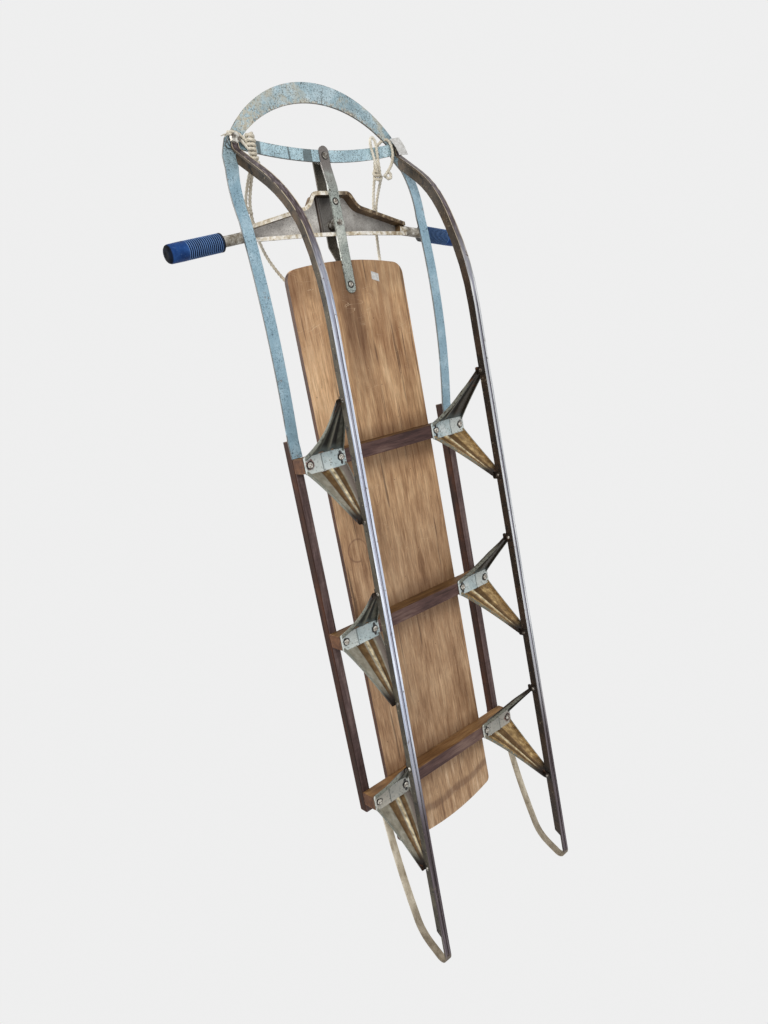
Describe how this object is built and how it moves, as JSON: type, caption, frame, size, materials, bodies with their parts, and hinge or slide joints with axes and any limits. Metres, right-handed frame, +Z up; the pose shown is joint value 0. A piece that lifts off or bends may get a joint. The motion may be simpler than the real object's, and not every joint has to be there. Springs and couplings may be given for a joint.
{
  "type": "steerable runner sled",
  "caption": "Old steerable snow sled: wooden deck and side rails on steel runners with stamped knees, a curved steel bumper and a pivoted steering bar with grips.",
  "frame": {"origin": "on the ground, under the middle of the sled's length and width, at the height of the runner faces", "axes": "+X to the nose, +Y to the rider's left, +Z up"},
  "size_m": [1.3349, 0.5468, 0.1721],
  "materials": {
    "runner_steel": "worn, rusty",
    "knee_paint": "aged paint with chips",
    "beam_wood": "old stain",
    "deck_wood": "old varnish",
    "blue_paint": "aged pale blue paint",
    "strap_steel": "worn grey-green paint",
    "bar_steel": "grey with rusty rims",
    "bolt_steel": "dull",
    "grip": "ribbed, satin",
    "rope": "twisted cotton"
  },
  "bodies": {
    "frame": {"runner_left": "runner_steel", "runner_right": "runner_steel", "knee_front_left": "knee_paint", "knee_front_right": "knee_paint", "knee_mid_left": "knee_paint", "knee_mid_right": "knee_paint", "knee_rear_left": "knee_paint", "knee_rear_right": "knee_paint", "crossbeam_front": "beam_wood", "crossbeam_mid": "beam_wood", "crossbeam_rear": "beam_wood", "deck_board": "deck_wood", "side_rail_left": "beam_wood", "side_rail_right": "beam_wood", "side_strut_left": "blue_paint", "side_strut_right": "blue_paint", "bumper_hoop": "blue_paint", "front_crossbar": "blue_paint", "centre_strap_lower": "strap_steel", "centre_strap_upper": "strap_steel", "pivot_bolt": "bolt_steel", "spacer_bolt": "bolt_steel", "corner_bolt_left": "bolt_steel", "corner_bolt_right": "bolt_steel", "rope_knot_left": "rope", "rope_knot_right": "rope", "rope_lead_left": "rope", "rope_lead_right": "rope", "rope_coil": "rope"},
    "steering": {"steering_bar": "bar_steel", "grip_left": "grip", "grip_right": "grip"}
  },
  "joints": [
    {"name": "steering_pivot", "type": "hinge", "parent": "frame", "child": "steering", "pos_m": [0.4685, 0, 0.143], "axis": [0, 0, 1], "range_deg": [-14, 14]}
  ]
}
